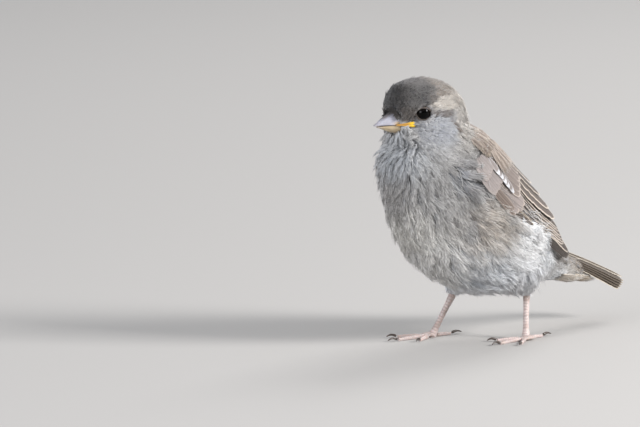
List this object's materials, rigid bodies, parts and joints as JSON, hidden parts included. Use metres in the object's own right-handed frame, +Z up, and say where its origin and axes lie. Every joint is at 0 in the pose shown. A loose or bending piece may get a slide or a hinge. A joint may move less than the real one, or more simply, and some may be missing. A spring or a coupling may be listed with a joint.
{
  "type": "young house sparrow, life-size still model",
  "caption": "Life-size still model of a young house sparrow standing on both feet, plumage fluffed, head turned a little to its right, wings folded and closed tail held low behind.",
  "frame": {"origin": "on the ground, under the centre of the bounding box", "axes": "+X the way the bird's body faces, +Y to the bird's left, +Z up"},
  "size_m": [0.1242, 0.0496, 0.1006],
  "materials": {
    "plumage": "soft matt body feathers",
    "flight_feathers": "smooth matt wing and tail feathers with a slight sheen",
    "bill": "satin horn",
    "gape": "soft satin skin",
    "eye": "glossy, very dark brown",
    "leg": "scaly matt skin",
    "claw": "dark satin horn"
  },
  "bodies": {
    "root": {"bill_lower": "bill", "bill_upper": "bill", "claw_left_hallux": "claw", "claw_left_inner": "claw", "claw_left_middle": "claw", "claw_left_outer": "claw", "claw_right_hallux": "claw", "claw_right_inner": "claw", "claw_right_middle": "claw", "claw_right_outer": "claw", "eye_left": "eye", "eye_right": "eye", "gape_left": "gape", "gape_right": "gape", "head": "plumage", "neck": "plumage", "tail": "flight_feathers", "tarsus_left": "leg", "tarsus_right": "leg", "thigh_left": "plumage", "thigh_right": "plumage", "toe_left_hallux": "leg", "toe_left_inner": "leg", "toe_left_middle": "leg", "toe_left_outer": "leg", "toe_right_hallux": "leg", "toe_right_inner": "leg", "toe_right_middle": "leg", "toe_right_outer": "leg", "trunk": "plumage", "wing_left_coverts": "flight_feathers", "wing_left_primaries": "flight_feathers", "wing_left_secondaries": "flight_feathers", "wing_right_coverts": "flight_feathers", "wing_right_primaries": "flight_feathers", "wing_right_secondaries": "flight_feathers"}
  },
  "joints": []
}
